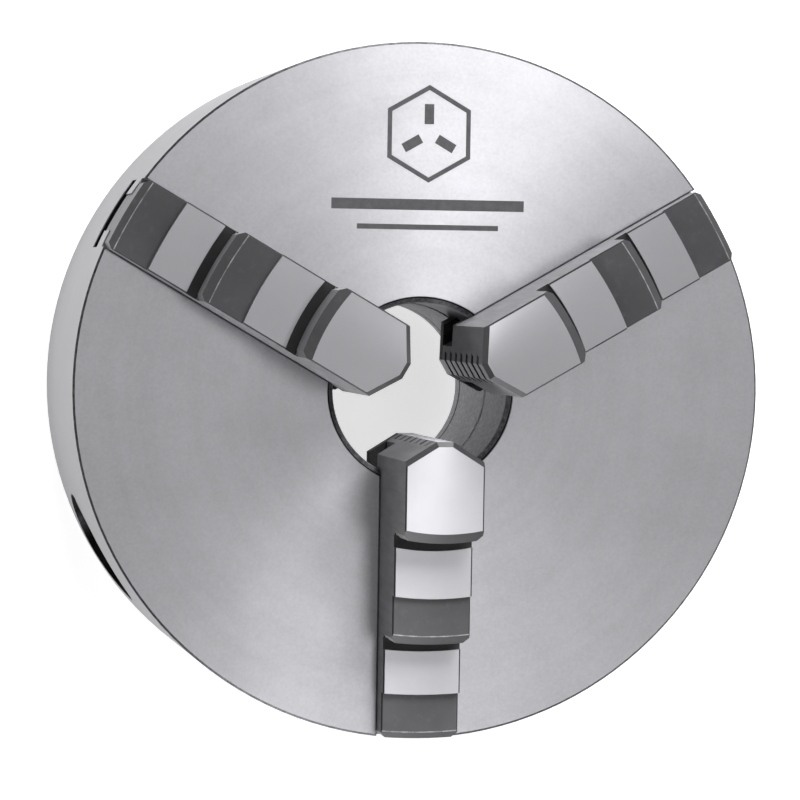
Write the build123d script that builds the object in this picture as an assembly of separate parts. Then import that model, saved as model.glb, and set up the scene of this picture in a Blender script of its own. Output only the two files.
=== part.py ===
"""Three-jaw self-centring scroll chuck, 160 mm, with bevel pinions and one-piece stepped jaws.

Millimetres. The chuck lies on its back face: Z is the spindle axis, z = 0 the face that meets
the backplate and z = 65 the front face. The three jaws stand at 270, 30 and 150 degrees round
the axis and the three key pinions midway between them. The jaws are drawn with their tips
10.4 mm from the axis, inside a travel of 9 mm inwards and 16 mm outwards.
"""

import os
from math import acos, atan2, cos, degrees, pi, radians, sin, sqrt, tan

from build123d import *

# --- chuck body ---
BODY_R = 80.0
BODY_H = 65.0
EDGE_CHAMFER = 0.5
BORE_R = 20.0
BORE_CHAMFER = 1.5
RELIEF_R = 20.3  # the bore in front of the slot floors
HUB_R = 30.4
CAVITY_R = 56.6
FRONT_WALL_Z = 46.1  # rear face of the wall that carries the jaw slots
COVER_SEAT_R = 64.0
COVER_SEAT_Z = 13.0
REGISTER_R = 65.0
REGISTER_DEPTH = 5.0
JAW_ANGLES = (270, 30, 150)
PINION_ANGLES = (90, 210, 330)

# --- mounting holes, M8 in the back face ---
MOUNT_PCD = 142.0
MOUNT_TAP_R = 3.4
MOUNT_DEPTH = 18.0

# --- jaw guides ---
JAW_HALF = 8.95  # half width of a jaw
NECK_HALF = 4.8  # half width between the guide tongues
SLIDE_GAP = 0.1  # at each side of a jaw
SLOT_GAP = 0.15  # above and below the tongues
EDGE_BREAK = 0.35  # small chamfer along machined edges
NECK_Z = (49.3, 60.0)
TOOTH_GAP = 0.5  # below the jaw teeth where they cross the hub and the rim

# --- scroll plate ---
SCROLL_BORE_R = HUB_R + 0.05
SCROLL_R = 56.2
SCROLL_FRONT_Z = 45.8
SCROLL_REAR_Z = COVER_SEAT_Z + 0.3
SKIRT_R = 37.0
PITCH = 8.0  # radial advance of the spiral per turn
GROOVE_W = 4.2
GROOVE_FLOOR_Z = 41.2
SPIRAL_START = 1.2  # radius of the groove centre line at angle zero, less whole pitches

# --- bevel gearing, one apex on the axis at the height of the pinions ---
PINION_Z = 20.0
GEAR_TEETH = 60
PINION_TEETH = 12
GEAR_R_OUT = 52.0
GEAR_R_IN = 41.0
PRESSURE_ANGLE = 20.0
SHIFT = 0.3  # pinion addendum raised and gear addendum lowered, in modules
BACKLASH = 0.45
MODULE = 2 * GEAR_R_OUT / GEAR_TEETH
PINION_PITCH_R = MODULE * PINION_TEETH / 2

# --- pinion ---
JOURNAL_R = 14.5
JOURNAL_X = (66.3, 78.3)
PASSAGE_R = 13.0  # the teeth go in through this hole
NECK_R = 8.6
SQUARE = 10.0
SQUARE_DEPTH = 12.5
SOCKET_CONE_R = 9.0
RETAIN_X = 72.3
RETAIN_GROOVE = (5.0, 3.0)  # width, depth

# --- pinion retaining screws, M6 with a dog point ---
RETAIN_R = 2.5
RETAIN_Z = (0.6, 5.0, 8.0)  # socket end, shoulder, dog end
DOG_R = 1.75

# --- back cover and its M4 socket screws ---
COVER_R = COVER_SEAT_R - 0.05
COVER_SCREW_PCD = 119.2
COVER_SCREWS = 6
CAP_HEAD_R = 3.5
CAP_HEAD_H = 4.0
CAP_SINK = 4.4
CAP_CORE_R = 1.65
CAP_LENGTH = 12.0

# --- jaws, along the radius from the axis and up from the back face ---
TIP_X = 10.4
TIP_HALF = 1.9
NOSE_X = 14.8  # where the tip slopes reach the full width
NOSE_BEVEL = 1.1  # round the top of the nose
JAW_END_X = 79.6
BASE_END_X = 73.0  # the foot that carries the teeth stops short of the rim
TOOTH_Z = (41.5, 46.0)
TOOTH_T = 3.4
TOOTH_RADII = (57.0, 30.0)  # inner and outer flank, to clear the spiral wherever the jaw stands
TEETH_PER_JAW = 7
GRIP_PITCH = 5.95
GRIP_GROOVE = (2.2, 1.2)  # height, depth
GRIP_COUNT = 7
GRIP_TOP = 4.9  # from the top of the jaw to the first groove
# outer wall x, tread height, arc of the wall, bevel; end of the raised land x, its height, its arc
STEPS = (
    (33.1, 95.0, 45.0, 2.2, None, None, None),
    (56.9, 81.5, 80.0, 1.9, 46.3, 83.0, 64.0),
    (JAW_END_X, 69.6, 107.0, 1.5, 69.2, 71.5, 107.0),
)
CORNER_CUT = 1.2
UNDERCUT = (2.4, 1.1)  # width, depth

BASE = (Align.CENTER, Align.CENTER, Align.MIN)


def turned(profile):
    """A solid turned round the spindle axis from its (radius, height) outline."""
    return revolve(make_face(Plane.XZ * Polyline(profile, close=True)), Axis.Z)


def rod(radius, z0, z1, x=0.0, y=0.0):
    return Pos(x, y, z0) * Cylinder(radius, z1 - z0, align=BASE)


def block(x0, x1, half_y, z0, z1):
    return Pos((x0 + x1) / 2, 0, z0) * Box(x1 - x0, 2 * half_y, z1 - z0, align=BASE)


def radial_rod(radius, x0, x1):
    """A cylinder on the axis of the pinion that points along +X."""
    return Pos(x0, 0, PINION_Z) * Rot(0, 90, 0) * Cylinder(radius, x1 - x0, align=BASE)


def bar_from_section(side, length):
    """A bar from the axis out along +X; the section is this half outline (y, z) and its mirror."""
    outline = side + [(-y, z) for y, z in reversed(side)]
    face = make_face(Plane.YZ * Polyline(outline, close=True))
    return extrude(face, length, dir=(1, 0, 0))


def around(angle, shape):
    return Rot(0, 0, angle) * shape


def cover_screw_places():
    return [(COVER_SCREW_PCD / 2, i * 360 / COVER_SCREWS) for i in range(COVER_SCREWS)]


def make_slot():
    """The T-slot of one jaw, from the axis out through the rim, its front edges broken."""
    wide, narrow = JAW_HALF + SLIDE_GAP, NECK_HALF + SLIDE_GAP
    side = [
        (wide + EDGE_BREAK + 1, BODY_H + 1),
        (wide, BODY_H - EDGE_BREAK),
        (wide, NECK_Z[1] - SLOT_GAP),
        (narrow, NECK_Z[1] - SLOT_GAP),
        (narrow, NECK_Z[0] + SLOT_GAP),
        (wide, NECK_Z[0] + SLOT_GAP),
        (wide, TOOTH_Z[0] - TOOTH_GAP),
    ]
    return bar_from_section(side, BODY_R + 1)


def make_body():
    body = turned(
        [
            (RELIEF_R + BORE_CHAMFER, BODY_H),
            (RELIEF_R, BODY_H - BORE_CHAMFER),
            (RELIEF_R, TOOTH_Z[0] - TOOTH_GAP),
            (BORE_R, TOOTH_Z[0] - TOOTH_GAP),
            (BORE_R, COVER_SEAT_Z),
            (HUB_R, COVER_SEAT_Z),
            (HUB_R, FRONT_WALL_Z),
            (CAVITY_R, FRONT_WALL_Z),
            (CAVITY_R, COVER_SEAT_Z),
            (COVER_SEAT_R, COVER_SEAT_Z),
            (COVER_SEAT_R, REGISTER_DEPTH),
            (REGISTER_R, REGISTER_DEPTH),
            (REGISTER_R, 0.5),
            (REGISTER_R + 0.5, 0),
            (BODY_R - EDGE_CHAMFER, 0),
            (BODY_R, EDGE_CHAMFER),
            (BODY_R, BODY_H - EDGE_CHAMFER),
            (BODY_R - EDGE_CHAMFER, BODY_H),
        ]
    )
    mount_hole = rod(MOUNT_TAP_R, -1, MOUNT_DEPTH, MOUNT_PCD / 2)
    mount_hole += Pos(MOUNT_PCD / 2, 0, MOUNT_DEPTH) * Cone(MOUNT_TAP_R, 0, 2, align=BASE)
    pinion_hole = (
        radial_rod(JOURNAL_R + 0.05, JOURNAL_X[0] - 0.3, BODY_R + 1)
        + radial_rod(PASSAGE_R, CAVITY_R - 4, JOURNAL_X[0])
        + rod(RETAIN_R, 0, PINION_Z, RETAIN_X)
    )
    cuts = [around(a, make_slot()) for a in JAW_ANGLES]
    cuts += [around(a, mount_hole) for a in JAW_ANGLES]
    cuts += [around(a, pinion_hole) for a in PINION_ANGLES]
    tapped = rod(CAP_CORE_R, COVER_SEAT_Z, COVER_SEAT_Z + CAP_LENGTH)
    cuts += [around(a, Pos(r, 0, 0) * tapped) for r, a in cover_screw_places()]
    return body - cuts


def make_cover():
    chamfer_z = REGISTER_DEPTH + 2.5
    cover = turned(
        [
            (BORE_R, COVER_SEAT_Z),
            (BORE_R, chamfer_z),
            (BORE_R + 2.5, REGISTER_DEPTH),
            (COVER_R - 0.5, REGISTER_DEPTH),
            (COVER_R, REGISTER_DEPTH + 0.5),
            (COVER_R, COVER_SEAT_Z),
        ]
    )
    pocket = radial_rod(PASSAGE_R, GEAR_R_IN - 1, REGISTER_R + 1)
    head = rod(CAP_HEAD_R + 0.3, REGISTER_DEPTH - 1, REGISTER_DEPTH + CAP_SINK)
    hole = head + rod(2.2, REGISTER_DEPTH, COVER_SEAT_Z + 1)
    cuts = [around(a, pocket) for a in PINION_ANGLES]
    cuts += [around(a, Pos(r, 0, 0) * hole) for r, a in cover_screw_places()]
    return cover - cuts


def make_cap_screw():
    """Socket head cap screw, head down, its seat at z = 0 and its shank up +Z."""
    head = rod(CAP_HEAD_R, -CAP_HEAD_H, 0)
    head = chamfer(head.edges().sort_by(Axis.Z)[0], 0.4)
    shank = rod(CAP_CORE_R - 0.02, 0, COVER_SEAT_Z - REGISTER_DEPTH - CAP_SINK + CAP_LENGTH - 2)
    hexagon = Pos(0, 0, -CAP_HEAD_H) * extrude(RegularPolygon(1.5, 6, major_radius=False), 2.0)
    return head + shank - hexagon


def make_retaining_screw():
    """Dog-point set screw standing in the back face, its dog in the groove of the pinion."""
    bottom, shoulder, tip = RETAIN_Z
    screw = rod(RETAIN_R - 0.02, bottom, shoulder) + rod(DOG_R, shoulder, tip)
    hexagon = Pos(0, 0, bottom) * extrude(RegularPolygon(1.5, 6, major_radius=False), 2.5)
    return Pos(RETAIN_X, 0, 0) * (screw - hexagon)


def spiral_point(turn_angle, offset):
    radius = SPIRAL_START + offset + PITCH * turn_angle / (2 * pi)
    return (radius * cos(turn_angle), radius * sin(turn_angle))


def spiral_wall(offset, start, end, per_turn=12):
    """Edges of one wall of the scroll groove, arc by arc along the Archimedean spiral."""
    count = round((end - start) / (2 * pi) * per_turn)
    step = (end - start) / count
    return [
        ThreePointArc(*(spiral_point(start + (i + part) * step, offset) for part in (0, 0.5, 1)))
        for i in range(count)
    ]


def make_groove():
    """The spiral thread space, from inside the bore to outside the rim of the plate."""
    start = 2 * pi * 3.25
    end = 2 * pi * 7.35
    inner = spiral_wall(-GROOVE_W / 2, start, end)
    outer = spiral_wall(GROOVE_W / 2, start, end)
    ends = [
        Line(spiral_point(a, -GROOVE_W / 2), spiral_point(a, GROOVE_W / 2)) for a in (start, end)
    ]
    plan = make_face(inner + outer + ends)
    return Pos(0, 0, GROOVE_FLOOR_Z) * extrude(plan, SCROLL_FRONT_Z - GROOVE_FLOOR_Z + 1)


def cone_height(offset_modules):
    """Height above the pinion axis, at the outer end of the teeth, this far past the pitch line."""
    return PINION_PITCH_R + offset_modules * MODULE


def make_tooth_space():
    """One space between gear teeth: a pyramid slice with its apex on the spindle axis."""
    half = MODULE * (pi / 4 + SHIFT * tan(radians(PRESSURE_ANGLE))) + BACKLASH / 2
    slope = tan(radians(PRESSURE_ANGLE))
    outline = [
        (side * (half + (PINION_PITCH_R - z) * slope), z)
        for side, z in (
            (-1, cone_height(-2.2)),
            (1, cone_height(-2.2)),
            (1, cone_height(1.25 + SHIFT)),
            (-1, cone_height(1.25 + SHIFT)),
        )
    ]
    return pyramid_slice(outline, GEAR_R_IN - 0.7, GEAR_R_OUT + 1)


def pyramid_slice(outline, x0, x1):
    """The solid between two scaled copies of an outline drawn across +X at the gear's outer end."""
    faces = []
    for x in (x0, x1):
        scale = x / GEAR_R_OUT
        points = [(x, y * scale, PINION_Z + z * scale) for y, z in outline]
        faces.append(make_face(Polyline(points, close=True)))
    return loft(faces, ruled=True)


def make_scroll():
    tip_in = PINION_Z + cone_height(-1 + SHIFT) * GEAR_R_IN / GEAR_R_OUT
    tip_out = PINION_Z + cone_height(-1 + SHIFT)
    plate = turned(
        [
            (SCROLL_BORE_R, SCROLL_REAR_Z),
            (SKIRT_R, SCROLL_REAR_Z),
            (SKIRT_R, 31.0),
            (GEAR_R_IN, 31.0),
            (GEAR_R_IN, tip_in),
            (GEAR_R_OUT, tip_out),
            (GEAR_R_OUT, 34.0),
            (SCROLL_R, 34.0),
            (SCROLL_R, SCROLL_FRONT_Z),
            (SCROLL_BORE_R, SCROLL_FRONT_Z),
        ]
    )
    space = around(PINION_ANGLES[0], make_tooth_space())
    cuts = [around(i * 360 / GEAR_TEETH, space) for i in range(GEAR_TEETH)]
    return plate - cuts - make_groove()


def involute(angle):
    return tan(angle) - angle


def pinion_outline():
    """Outline of the twelve pinion teeth across the pinion axis, one tooth pointing at the gear."""
    alpha = radians(PRESSURE_ANGLE)
    base_r = PINION_PITCH_R * cos(alpha)
    tip_r = cone_height(1 + SHIFT)
    root_r = cone_height(SHIFT - 1.25)
    half = MODULE * (pi / 4 + SHIFT * tan(alpha)) / PINION_PITCH_R
    flank = []
    for i in range(6):
        r = base_r + (tip_r - base_r) * i / 5
        flank.append((r, half + involute(alpha) - involute(acos(base_r / r))))
    flank.insert(0, (root_r, flank[0][1]))
    points = []
    for tooth in range(PINION_TEETH):
        centre = pi / 2 + tooth * 2 * pi / PINION_TEETH
        side = [(r, centre - a) for r, a in flank] + [(r, centre + a) for r, a in reversed(flank)]
        points += [(r * cos(a), r * sin(a)) for r, a in side]
    return points


def make_pinion():
    teeth = pyramid_slice(pinion_outline(), GEAR_R_IN, GEAR_R_OUT)
    journal = radial_rod(JOURNAL_R, *JOURNAL_X)
    journal = chamfer(journal.edges().sort_by(Axis.X)[-1], 0.8)
    width, depth = RETAIN_GROOVE
    groove = radial_rod(JOURNAL_R + 1, RETAIN_X - width / 2, RETAIN_X + width / 2)
    groove -= radial_rod(JOURNAL_R - depth, RETAIN_X - width / 2, RETAIN_X + width / 2)
    end = JOURNAL_X[1]
    square = Pos(end - SQUARE_DEPTH / 2, 0, PINION_Z) * Box(SQUARE_DEPTH, SQUARE, SQUARE)
    cone_h = SOCKET_CONE_R - SQUARE / 2
    cone = Pos(end - cone_h, 0, PINION_Z) * Rot(0, 90, 0)
    cone *= Cone(SQUARE / 2, SOCKET_CONE_R, cone_h, align=BASE)
    neck = radial_rod(NECK_R, GEAR_R_OUT, JOURNAL_X[0])
    return teeth + neck + (journal - groove - square - cone)


def nose(half):
    """Plan of the jaw's gripping end: a narrow flat and two slopes, out to this half width."""
    x = TIP_X + (half - TIP_HALF) * (NOSE_X - TIP_X) / (JAW_HALF - TIP_HALF)
    return [(x, -half), (TIP_X, -TIP_HALF), (TIP_X, TIP_HALF), (x, half)]


def arc_block(x_end, arc_r, corner, z0, z1, half=JAW_HALF, bevel=0.0, edge=0.0):
    """A length of jaw from the nose to an arched end, its corners cut and its top edges broken."""
    x_side = x_end - (arc_r - sqrt(arc_r**2 - (half - corner) ** 2))
    beyond = corner + 2
    side = [(x_side - corner, half), (x_side - corner + beyond, half - beyond if corner else half)]
    plan = nose(half) + side + [(x, -y) for x, y in reversed(side)]
    solid = Pos(0, 0, z0) * extrude(make_face(Polyline(plan, close=True)), z1 - z0)
    arch = rod(arc_r, z0, z1, x_end - arc_r)
    if bevel:
        arch = chamfer(arch.edges().sort_by(Axis.Z)[-1], bevel)
    solid &= arch
    if edge:
        solid &= bar_from_section([(half - edge, z1), (half, z1 - edge), (half, z0)], x_end + 1)
    return solid


def step_block(step, z0):
    """One step of the jaw with its bevelled outer edge and the raised land it grips with."""
    x_end, z_tread, arc_r, bevel, x_land, z_land, land_arc = step
    solid = arc_block(x_end, arc_r, CORNER_CUT, z0, z_tread, bevel=bevel, edge=EDGE_BREAK)
    if x_land:
        solid += arc_block(x_land, land_arc, 0, z0, z_land, edge=EDGE_BREAK)
    return solid


def nose_bevels(z_top):
    """Cutters for the bevel round the top of the nose, one for the flat and one for each slope."""
    turn = degrees(atan2(NOSE_X - TIP_X, JAW_HALF - TIP_HALF))
    mid_x, mid_y = (TIP_X + NOSE_X) / 2, (TIP_HALF + JAW_HALF) / 2
    cutter = Pos(NOSE_BEVEL / 2, 0, -NOSE_BEVEL / 2) * Rot(0, -45, 0) * Box(8, 30, 4, align=BASE)
    places = ((TIP_X, 0, 0), (mid_x, mid_y, -turn), (mid_x, -mid_y, turn))
    return [Pos(x, y, z_top) * Rot(0, 0, angle) * cutter for x, y, angle in places]


def undercut(wall_x, arc_r, z_land):
    """The relief groove at the foot of a wall, along its arc."""
    width, depth = UNDERCUT
    z0, z1 = z_land - depth, z_land + 0.3
    ring = rod(arc_r + width, z0, z1, wall_x - arc_r) - rod(arc_r - 0.4, z0, z1, wall_x - arc_r)
    return ring & block(TIP_X, JAW_END_X, JAW_HALF + 1, z0, z1)


def scroll_tooth(x):
    """A crescent tooth: hollow towards the axis, round away from it, leaning with the spiral."""
    inner_r, outer_r = TOOTH_RADII
    z0, z1 = TOOTH_Z
    lean = -degrees(PITCH / (2 * pi) / 42)
    half_t = TOOTH_T / 2
    tooth = rod(outer_r, z0, z1, half_t - outer_r) - rod(inner_r, z0, z1, -half_t - inner_r)
    tooth &= block(-5, 5, JAW_HALF + 2, z0, z1)
    return Pos(x, 0, 0) * Rot(0, 0, lean) * tooth


def make_jaw(angle):
    """A jaw along +X; its teeth sit where the spiral crosses the slot at this angle."""
    z_neck0, z_neck1 = NECK_Z
    jaw = arc_block(BASE_END_X, 107.0, CORNER_CUT, TOOTH_Z[1], z_neck0)
    jaw += arc_block(JAW_END_X, 107.0, 0, z_neck0 - 1, z_neck1 + 1, NECK_HALF)
    for step in STEPS:
        jaw += step_block(step, z_neck1)
    for upper, lower in zip(STEPS, STEPS[1:]):
        jaw -= undercut(upper[0], upper[2], lower[5])
    jaw -= nose_bevels(STEPS[0][1])
    height, depth = GRIP_GROOVE
    for i in range(GRIP_COUNT):
        z = STEPS[0][1] - GRIP_TOP - i * GRIP_PITCH
        jaw -= block(TIP_X - 1, TIP_X + depth, JAW_HALF, z - height, z)
    first = SPIRAL_START + PITCH * (angle / 360)
    first += PITCH * (1 + (NOSE_X + TOOTH_T / 2 - 1 - first) // PITCH)
    teeth = [scroll_tooth(first + i * PITCH) for i in range(TEETH_PER_JAW)]
    plan = arc_block(BASE_END_X, 107.0, CORNER_CUT, TOOTH_Z[0], TOOTH_Z[1])
    for tooth in teeth:
        jaw += tooth & plan
    return jaw


def save(name, shape):
    solids = shape.solids()
    assert len(solids) == 1, f"{name} came out as {len(solids)} solids"
    solids[0].label = name
    export_step(solids[0], f"parts/{name}.step")


def main():
    os.makedirs("parts", exist_ok=True)
    save("body", make_body())
    save("back_cover", make_cover())
    save("scroll_plate", make_scroll())
    pinion, retainer = make_pinion(), make_retaining_screw()
    for i, angle in enumerate(PINION_ANGLES, 1):
        save(f"pinion_{i}", around(angle, pinion))
        save(f"pinion_retaining_screw_{i}", around(angle, retainer))
    for i, angle in enumerate(JAW_ANGLES, 1):
        save(f"jaw_{i}", around(angle, make_jaw(angle)))
    cap = make_cap_screw()
    for i, (r, angle) in enumerate(cover_screw_places(), 1):
        place = Pos(r, 0, REGISTER_DEPTH + CAP_SINK) * cap
        save(f"cover_screw_{i}", around(angle, place))


if __name__ == "__main__":
    main()
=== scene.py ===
"""Looks of the 160 mm three-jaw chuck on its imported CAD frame. Metres, +Z out of the front face."""

from math import cos, pi, radians, sin

import bmesh
import bpy
from mathutils import Matrix, Vector


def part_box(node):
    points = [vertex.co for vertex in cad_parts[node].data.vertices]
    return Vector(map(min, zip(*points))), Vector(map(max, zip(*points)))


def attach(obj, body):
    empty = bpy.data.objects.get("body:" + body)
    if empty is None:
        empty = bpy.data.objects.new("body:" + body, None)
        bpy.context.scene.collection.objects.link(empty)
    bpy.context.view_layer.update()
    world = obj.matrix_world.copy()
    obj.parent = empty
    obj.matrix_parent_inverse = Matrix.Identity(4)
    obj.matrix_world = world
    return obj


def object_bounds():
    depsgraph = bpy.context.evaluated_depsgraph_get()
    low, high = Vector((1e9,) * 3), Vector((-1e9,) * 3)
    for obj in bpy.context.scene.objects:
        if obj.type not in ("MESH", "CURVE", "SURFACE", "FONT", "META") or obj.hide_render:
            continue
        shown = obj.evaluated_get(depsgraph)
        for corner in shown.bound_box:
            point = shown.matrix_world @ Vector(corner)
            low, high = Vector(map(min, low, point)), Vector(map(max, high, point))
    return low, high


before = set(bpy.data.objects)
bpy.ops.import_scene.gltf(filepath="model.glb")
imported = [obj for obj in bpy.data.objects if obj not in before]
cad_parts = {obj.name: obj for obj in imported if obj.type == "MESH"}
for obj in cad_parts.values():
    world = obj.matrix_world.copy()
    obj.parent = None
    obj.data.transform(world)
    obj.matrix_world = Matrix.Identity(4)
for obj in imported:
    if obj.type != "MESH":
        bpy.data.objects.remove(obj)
cad_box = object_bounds()

MM = 0.001
FACE_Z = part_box("body")[1][2]
SOFT = 0.1 * MM  # how far most painted borders fade out

# places on the body, for its paint
RIM_R = 79.7 * MM
CHAMFER_R = 79.3 * MM
BORE_R = 20.4 * MM
MOUTH_R = (20.5 * MM, 21.3 * MM)
LIP_R = (21.4 * MM, 21.6 * MM)
COVER_SEAM_Z = (12.2 * MM, 13.3 * MM)
SLOT_Z = (40.8 * MM, 49.5 * MM)
SLOT_R = (20.6 * MM, RIM_R)

# the key pinions and the bores that they turn in
PINION_ANGLES = (90, 210, 330)
PINION_Z = 20.0 * MM
PINION_BORE_R = 14.57 * MM
PINION_BORE_START = 60.0 * MM
PINION_END = 77.7 * MM

# places on a jaw
JAW_ANGLES = (270, 30, 150)
LANDS_Z = (95.0 * MM, 83.0 * MM, 71.5 * MM)
UNDERCUTS_Z = (81.9 * MM, 70.4 * MM)
TIP_OUT = 10.45 * MM
TIP_Z = (46.0 * MM, 93.5 * MM)
FOOT_TOP_Z = 49.4 * MM
# a tread's height, its curved outer wall's place and radius, and the bevel between the two
TREADS = (
    (81.5 * MM, 56.9 * MM, 80.0 * MM, 1.9 * MM),
    (69.6 * MM, 79.6 * MM, 107.0 * MM, 1.5 * MM),
)
# width of the painted highlight line on each tread
TREAD_HIGHLIGHT_WIDTH = 0.2 * MM


# ---------------------------------------------------------------- materials
def heading(angle):
    """Unit vector in the plane of the face, at an angle in degrees round the spindle axis."""
    return (cos(radians(angle)), sin(radians(angle)), 0)


class Nodes:
    """Short hand for building one material out of shader nodes."""

    def __init__(self, name, **values):
        self.material = bpy.data.materials.new(name)
        self.material.use_nodes = True
        self.tree = self.material.node_tree
        self.shader = self.tree.nodes["Principled BSDF"]
        for key, value in values.items():
            self.shader.inputs[key.replace("_", " ")].default_value = value

    def add(self, kind, *inputs, out=0, **settings):
        """A new node; its inputs in order are numbers, vectors or the outputs of other nodes."""
        node = self.tree.nodes.new("ShaderNode" + kind)
        for key, value in settings.items():
            setattr(node, key, value)
        for socket, value in zip(node.inputs, inputs):
            if isinstance(value, bpy.types.NodeSocket):
                self.tree.links.new(value, socket)
            else:
                socket.default_value = value
        return node.outputs[out]

    def link(self, **outputs):
        """Join outputs to the shader's sockets, whose names have _ for a space here."""
        for name, output in outputs.items():
            self.tree.links.new(output, self.shader.inputs[name.replace("_", " ")])

    def bump(self, height, distance, strength):
        node = self.add("Bump").node
        node.inputs["Strength"].default_value = strength
        node.inputs["Distance"].default_value = distance
        self.tree.links.new(height, node.inputs["Height"])
        self.link(Normal=node.outputs[0])

    # arithmetic
    def math(self, operation, a, b=0.0):
        return self.add("Math", a, b, operation=operation)

    def vector(self, operation, a, b=(0, 0, 0), out=0):
        return self.add("VectorMath", a, b, operation=operation, out=out)

    def dot(self, a, b):
        return self.vector("DOT_PRODUCT", a, b, out=1)

    def length(self, x, y):
        """Length of the flat vector x, y."""
        return self.vector("LENGTH", self.add("CombineXYZ", x, y, 0.0), out=1)

    def times(self, *factors):
        product = factors[0]
        for factor in factors[1:]:
            product = self.math("MULTIPLY", product, factor)
        return product

    def largest(self, *values):
        """The largest of these values; of masks, 1 wherever any of them is 1."""
        found = values[0]
        for value in values[1:]:
            found = self.math("MAXIMUM", found, value)
        return found

    def weighted(self, *pairs, base=0.0):
        """base plus the sum of value times weight over (value, weight) pairs."""
        total = base
        for value, weight in pairs:
            total = self.add("Math", value, weight, total, operation="MULTIPLY_ADD")
        return total

    # places
    def position(self):
        """Object position as a vector and as x, y, z and distance from the spindle axis."""
        place = self.add("TexCoord", out=3)
        x, y, z = self.add("SeparateXYZ", place).node.outputs
        return place, x, y, z, self.length(x, y)

    def facing(self):
        """The surface normal and its Z part, 1 on a surface that faces the front."""
        normal = self.add("NewGeometry", out=3)
        return normal, self.add("SeparateXYZ", normal).node.outputs[2]

    def along(self, place, *angles):
        """Distance out from the spindle axis along whichever of these directions is nearest."""
        return self.largest(*(self.dot(place, heading(angle)) for angle in angles))

    def across_grooves(self, x, y):
        """Unit vector square to turning marks that run round the spindle axis."""
        ring = self.add("CombineXYZ", self.math("MULTIPLY", y, -1.0), x, 0.0)
        normal = self.add("NewGeometry", out=3)
        across = self.vector("CROSS_PRODUCT", normal, self.vector("NORMALIZE", ring))
        never_zero = self.vector("ADD", across, (0, 0, 0.001))
        return self.vector("NORMALIZE", never_zero)

    # masks, which are 1 inside and fade to 0 over the distance soft
    def above(self, value, low, soft=SOFT):
        return self.add("MapRange", value, low - soft, low, 0.0, 1.0)

    def below(self, value, high, soft=SOFT):
        return self.add("MapRange", value, high, high + soft, 1.0, 0.0)

    def between(self, value, low, high, soft=SOFT):
        return self.times(self.above(value, low, soft), self.below(value, high, soft))

    def level(self, value, middle):
        """A narrow band, for one flat surface at a known place."""
        return self.between(value, middle - SOFT, middle + SOFT, SOFT / 2)

    def upright(self, up):
        """Surfaces that stand along the spindle axis."""
        return self.between(up, -0.5, 0.5, 0.1)

    def bevelled(self, part_of_normal):
        """Surfaces at 45 degrees to the direction in which this part of the normal is measured."""
        return self.between(part_of_normal, 0.6, 0.8, 0.02)

    # colours
    def noise(self, vector, scale, detail, roughness=0.55):
        node = self.add("TexNoise", vector).node
        node.inputs["Scale"].default_value = scale
        node.inputs["Detail"].default_value = detail
        node.inputs["Roughness"].default_value = roughness
        return node.outputs[0]

    def shades(self, factor, dark, light, span=(0.3, 0.7)):
        """Grey from dark to light as factor crosses the span, slightly blue like steel."""
        node = self.add("ValToRGB", factor).node
        for element, place, shade in zip(node.color_ramp.elements, span, (dark, light)):
            element.position = place
            element.color = (shade, shade * 0.99, shade * 1.04, 1)
        return node.outputs[0]

    def coats(self, colour, *coats):
        """Lay each (mask, colour) coat over what is there, in order."""
        for mask, coat in coats:
            node = self.add("Mix", mask, data_type="RGBA").node
            self.tree.links.new(colour, node.inputs[6])
            self.tree.links.new(coat, node.inputs[7])
            colour = node.outputs[2]
        return colour


def pinion_bores(n, place, z, radius):
    """Mask of the walls of the three radial bores that hold the key pinions."""
    out = n.along(place, *PINION_ANGLES)
    height = n.math("SUBTRACT", z, PINION_Z)
    aside = n.math("SUBTRACT", n.times(radius, radius), n.times(out, out))
    from_axis = n.math("SQRT", n.math("ADD", aside, n.times(height, height)))
    return n.times(n.below(from_axis, PINION_BORE_R, 0.03 * MM), n.above(out, PINION_BORE_START, MM))


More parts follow.
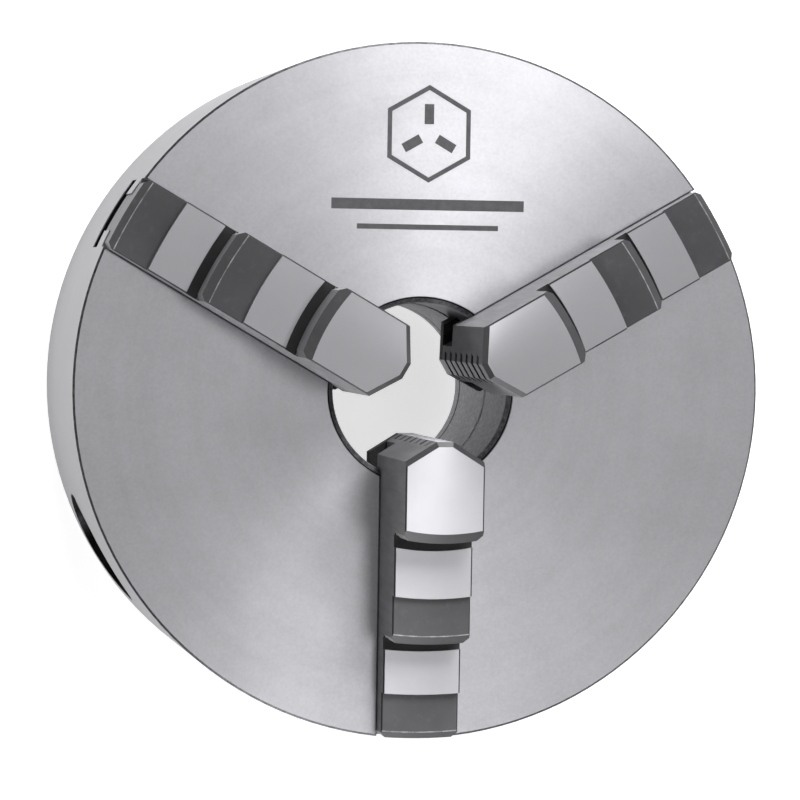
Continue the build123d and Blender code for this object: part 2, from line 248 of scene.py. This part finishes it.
def turned_steel():
    """Bright lathe-turned body: fine concentric marks, a speckled bore and a dark cover seam, with painted
    shade on the rim, its chamfer, the bore mouth and lip, the slots and the pinion bores, and a painted
    highlight on the bore ledge.
    """
    n = Nodes("turned_steel", Metallic=1.0, Anisotropic=0.72)
    place, x, y, z, radius = n.position()
    up = n.facing()[1]

    rings = n.add("CombineXYZ", radius, 0.0, z)
    fine = n.noise(rings, scale=3000.0, detail=2.0)
    bands = n.noise(rings, scale=240.0, detail=3.0)
    clouds = n.noise(place, scale=38.0, detail=5.0, roughness=0.65)
    grain = n.noise(place, scale=1500.0, detail=2.0)
    speckle = n.noise(place, scale=900.0, detail=4.0, roughness=0.7)
    marks = n.weighted((bands, 0.2), (clouds, 0.5), (grain, 0.3))
    specks = (0.35, 0.65)

    rim = n.times(n.above(radius, RIM_R), n.upright(up))
    chamfer = n.times(n.above(radius, CHAMFER_R), n.bevelled(up))
    bore = n.below(radius, BORE_R)
    ledge = n.times(bore, n.above(up, 0.9, 0.02))
    mouth = n.between(radius, *MOUTH_R)
    seam = n.times(bore, n.between(z, *COVER_SEAM_Z))
    slots = n.times(n.between(z, *SLOT_Z), n.between(radius, *SLOT_R))
    # painted shade: the bore lip, the jaw slots and the pinion bores are coloured near-black; the cover seam
    # is a real dark joint
    shade_and_seam = n.largest(n.between(radius, *LIP_R), seam, slots, pinion_bores(n, place, z, radius))

    steel = n.coats(
        n.shades(marks, dark=0.37, light=0.5),
        # painted shade: the rim is coloured darker than the face
        (rim, n.shades(marks, dark=0.25, light=0.32)),
        # painted shade: the rim chamfer is coloured near-black, a dark line round the face
        (chamfer, n.shades(speckle, dark=0.05, light=0.12, span=specks)),
        (bore, n.shades(speckle, dark=0.28, light=0.48, span=specks)),
        # painted highlight: the bore ledge is coloured near-white so its thin step shows bright
        (ledge, n.shades(speckle, dark=0.8, light=0.95, span=specks)),
        # painted shade: a dark ring round the bore mouth
        (mouth, n.shades(speckle, dark=0.12, light=0.32, span=(0.4, 0.7))),
        (shade_and_seam, n.shades(speckle, dark=0.012, light=0.03)),
    )
    n.link(Base_Color=steel, Tangent=n.across_grooves(x, y))
    n.link(Roughness=n.weighted((marks, 0.08), (n.largest(bore, mouth), 0.12), base=0.34))
    n.bump(n.weighted((fine, 1.0), (bands, 0.6)), distance=0.01 * MM, strength=0.35)
    return n.material


def jaw_steel(angle):
    """One jaw, hardened dark grey: lands and tip ground bright; painted shade makes the undercuts, the foot
    and the long edge chamfers near-black, and a painted highlight runs where each tread meets its bevel.
    """
    n = Nodes("jaw_steel", Anisotropic=0.85)
    place, x, y, z, radius = n.position()
    normal, up = n.facing()
    local = n.add("VectorRotate", place, (0, 0, 0), (0, 0, 1), -radians(angle), rotation_type="Z_AXIS")
    out, aside = n.add("SeparateXYZ", local).node.outputs[:2]
    flat = n.above(up, 0.97, 0.01)
    sideways = n.math("ABSOLUTE", n.dot(normal, heading(angle + 90)))

    def levels(heights):
        return n.times(n.largest(*(n.level(z, height) for height in heights)), flat)

    def tread_highlight(height, end_x, arc_r, bevel):
        """Painted highlight: a bright line where a dark tread meets the bevel of its curved outer wall."""
        reach = n.length(n.math("SUBTRACT", out, end_x - arc_r), aside)
        edge_r = arc_r - bevel
        return n.times(n.between(reach, edge_r - TREAD_HIGHLIGHT_WIDTH, edge_r, SOFT / 2), n.level(z, height))

    clouds = n.noise(place, scale=60.0, detail=4.0)
    streaks = n.noise(n.add("CombineXYZ", out, n.times(z, 0.12), 0.0), scale=700.0, detail=3.0)
    fine = n.noise(n.add("CombineXYZ", radius, 0.0, z), scale=2600.0, detail=2.0)
    scuffs = n.noise(place, scale=420.0, detail=5.0, roughness=0.7)
    patchy = n.add("MapRange", scuffs, 0.4, 0.6, 0.2, 0.75)

    edges = n.times(n.bevelled(up), n.bevelled(sideways))
    tip = n.times(n.below(out, TIP_OUT, 0.02 * MM), n.between(z, *TIP_Z))
    ground = n.largest(levels(LANDS_Z), tip)
    tread_highlights = n.times(n.largest(*(tread_highlight(*tread) for tread in TREADS)), patchy)
    sides = n.weighted((streaks, 0.6), (clouds, 0.4))

    steel = n.coats(
        n.shades(clouds, dark=0.062, light=0.085),
        (n.upright(up), n.shades(sides, dark=0.16, light=0.27)),
        (n.times(n.above(scuffs, 0.64, 0.1), 0.09), n.shades(scuffs, dark=0.16, light=0.3, span=(0.6, 0.8))),
        # painted shade: the long edge chamfers are coloured near-black as dark outlines
        (edges, n.shades(clouds, dark=0.03, light=0.05)),
        # painted shade: the undercut floors are coloured near-black
        (levels(UNDERCUTS_Z), n.shades(clouds, dark=0.02, light=0.04)),
        # painted highlight along each tread's bevel, broken up in patches
        (tread_highlights, n.shades(clouds, dark=0.35, light=0.6)),
        # painted shade: the foot, low in the slot, is coloured near-black
        (n.below(z, FOOT_TOP_Z), n.shades(scuffs, dark=0.015, light=0.05)),
        (ground, n.shades(clouds, dark=0.4, light=0.45)),
    )
    n.link(Base_Color=steel, Tangent=n.across_grooves(x, y))
    n.link(Metallic=n.weighted((ground, 0.55), base=0.45))
    n.link(Roughness=n.weighted((clouds, 0.1), (ground, -0.1), base=0.42))
    n.bump(fine, distance=0.01 * MM, strength=0.3)
    return n.material


def pinion_steel():
    """Key pinions: a turned end face round a socket painted near-black as shade."""
    n = Nodes("pinion_steel", Metallic=1.0)
    place = n.position()[0]
    end_face = n.above(n.along(place, *PINION_ANGLES), PINION_END)
    clouds = n.noise(place, scale=120.0, detail=4.0)
    # painted shade: all of the pinion but its end face is coloured near-black
    pinion_shade, bright = n.shades(clouds, dark=0.012, light=0.035), n.shades(clouds, dark=0.2, light=0.29)
    n.link(Base_Color=n.coats(pinion_shade, (end_face, bright)))
    n.link(Roughness=n.weighted((clouds, 0.15), base=0.42))
    n.bump(n.noise(place, scale=1800.0, detail=3.0), distance=0.02 * MM, strength=0.35)
    return n.material


def plain_steel(name, dark, light, rough):
    """Machined or blackened steel with a slightly uneven surface."""
    n = Nodes(name, Metallic=1.0)
    place = n.position()[0]
    clouds = n.noise(place, scale=120.0, detail=4.0)
    n.link(Base_Color=n.shades(clouds, dark, light))
    n.link(Roughness=n.weighted((clouds, 0.15), base=rough))
    n.bump(n.noise(place, scale=2200.0, detail=2.0), distance=0.02 * MM, strength=0.3)
    return n.material


def assign(material, *nodes):
    for name in nodes:
        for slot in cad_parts[name].material_slots:
            slot.material = material


def numbered(stem, count):
    return [f"{stem}_{i}" for i in range(1, count + 1)]


assign(turned_steel(), "body", "back_cover")
assign(plain_steel("scroll_steel", dark=0.2, light=0.28, rough=0.3), "scroll_plate")
assign(pinion_steel(), *numbered("pinion", 3))
for jaw, jaw_angle in zip(numbered("jaw", 3), JAW_ANGLES):
    assign(jaw_steel(jaw_angle), jaw)
black = plain_steel("black_oxide", dark=0.012, light=0.03, rough=0.35)
assign(black, *numbered("cover_screw", 6), *numbered("pinion_retaining_screw", 3))


# ---------------------------------------------------------------- etched mark
def flat_piece(name, outlines, z0, z1, material, body):
    """Thin raised plates from closed outlines, as one piece that rides on a body."""
    mesh = bpy.data.meshes.new(name)
    bm = bmesh.new()
    for outline in outlines:
        low = [bm.verts.new((x, y, z0)) for x, y in outline]
        high = [bm.verts.new((x, y, z1)) for x, y in outline]
        bm.faces.new(high)
        bm.faces.new(reversed(low))
        for i, corner in enumerate(low):
            j = (i + 1) % len(low)
            bm.faces.new((corner, low[j], high[j], high[i]))
    bm.to_mesh(mesh)
    bm.free()
    mesh.materials.append(material)
    piece = bpy.data.objects.new(name, mesh)
    bpy.context.collection.objects.link(piece)
    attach(piece, body)
    return piece


def bar(x0, x1, y0, y1):
    """Outline of a bar, from corners in millimetres."""
    return [(x * MM, y * MM) for x, y in ((x0, y0), (x1, y0), (x1, y1), (x0, y1))]


def around(angle, points, centre):
    """Points turned by an angle in degrees and moved to a centre."""
    c, s = cos(radians(angle)), sin(radians(angle))
    return [(centre[0] + x * c - y * s, centre[1] + x * s + y * c) for x, y in points]


def hexagon_side(start, outer, inner):
    """One side of a hexagonal ring, from a corner at start degrees to the next corner."""
    ring = [(outer, start), (outer, start + 60), (inner, start + 60), (inner, start)]
    return [(r * cos(radians(a)), r * sin(radians(a))) for r, a in ring]


def make_mark():
    """A plain etched mark on the face: a hexagon with three short bars, and two lines below."""
    n = Nodes("etching", Metallic=0.4, Roughness=0.55)
    n.link(Base_Color=n.shades(n.noise(n.position()[0], scale=700.0, detail=3.0), dark=0.075, light=0.1))
    centre = (1.0 * MM, 59.0 * MM)
    outlines = [around(30, hexagon_side(60 * i, 11.2 * MM, 10.0 * MM), centre) for i in range(6)]
    outlines += [around(90 + 120 * i, bar(2.2, 6.8, -1.1, 1.1), centre) for i in range(3)]
    outlines += [bar(-21.5, 23.5, 41.5, 44.0), bar(-15.5, 17.5, 37.0, 38.2)]
    top = FACE_Z + 0.02 * MM
    flat_piece("etched_mark", outlines, FACE_Z - 0.1 * MM, top, n.material, "chuck_body")


make_mark()


# ---------------------------------------------------------------- studio
LENS = 159.93
CAMERA_TURN = (("Y", -10.85), ("X", -1.8), ("Z", 0.9))  # degrees, the outermost turn first
CAMERA_PLACE = (-4.77 * MM, -2.04 * MM, 816.0 * MM)  # in the camera's own axes, from the face
FLOOR_SIZE = 4.0
FLOOR_GREY = 0.62
FLOOR_GLOW = 0.65

AIM = Vector((0, 0, 30 * MM))
LIGHT_DISTANCE = 1.45
WIDE, LONG, SMALL = (0.7, 0.7), (0.9, 0.6), (0.35, 0.35)
# name, azimuth and tilt from the spindle axis in degrees, size, radiance
SOFTBOXES = (
    ("upper_softbox", 60, 42, WIDE, 9.6),
    ("upper_strip", 85, 65, LONG, 12.0),
    ("lower_softbox", 310, 42, WIDE, 0.9),
    ("lower_strip", 262, 65, LONG, 9.5),
    ("head_light", 90, 14, SMALL, 1.4),
    ("right_head_light", 0, 12, SMALL, 3.6),
    ("left_softbox", 180, 42, WIDE, 1.2),
)


def softbox(name, azimuth, tilt, size, radiance):
    """An area light aimed at the chuck, tilted away from the spindle axis towards an azimuth."""
    data = bpy.data.lights.new(name, "AREA")
    data.shape = "RECTANGLE"
    data.size, data.size_y = size
    data.energy = radiance * pi * size[0] * size[1]
    light = bpy.data.objects.new(name, data)
    bpy.context.collection.objects.link(light)
    turn, lean = radians(azimuth), radians(tilt)
    out = Vector((sin(lean) * cos(turn), sin(lean) * sin(turn), cos(lean)))
    light.location = out * LIGHT_DISTANCE
    light.rotation_euler = (AIM - light.location).to_track_quat("-Z", "Y").to_euler()


def make_floor():
    mesh = bpy.data.meshes.new("floor")
    bm = bmesh.new()
    bmesh.ops.create_grid(bm, x_segments=1, y_segments=1, size=FLOOR_SIZE)
    bm.to_mesh(mesh)
    bm.free()
    floor = bpy.data.objects.new("floor", mesh)
    bpy.context.collection.objects.link(floor)
    floor.location = (0, 0, cad_box[0][2])
    grey = (FLOOR_GREY, FLOOR_GREY, FLOOR_GREY, 1)
    n = Nodes("floor", Base_Color=grey, Roughness=0.9, Emission_Strength=FLOOR_GLOW)
    n.shader.inputs["Emission Color"].default_value = (1, 1, 1, 1)
    mesh.materials.append(n.material)


def make_camera():
    """A long lens in front of the chuck, turned so that the rim shows on the left."""
    turn = Matrix.Identity(3)
    for axis, angle in CAMERA_TURN:
        turn = turn @ Matrix.Rotation(radians(angle), 3, axis)
    data = bpy.data.cameras.new("camera")
    data.sensor_width = 36
    data.lens = LENS
    data.dof.use_dof = False
    camera = bpy.data.objects.new("camera", data)
    bpy.context.collection.objects.link(camera)
    place = Vector((0, 0, FACE_Z)) + turn @ Vector(CAMERA_PLACE)
    camera.matrix_world = Matrix.Translation(place) @ turn.to_4x4()
    bpy.context.scene.camera = camera


def make_world():
    world = bpy.data.worlds.new("studio")
    world.use_nodes = True
    background = world.node_tree.nodes["Background"]
    background.inputs["Color"].default_value = (0.98, 0.98, 1.0, 1)
    background.inputs["Strength"].default_value = 0.05
    bpy.context.scene.world = world


make_floor()
make_camera()
make_world()
bpy.context.scene.view_settings.view_transform = "Standard"
for box in SOFTBOXES:
    softbox(*box)
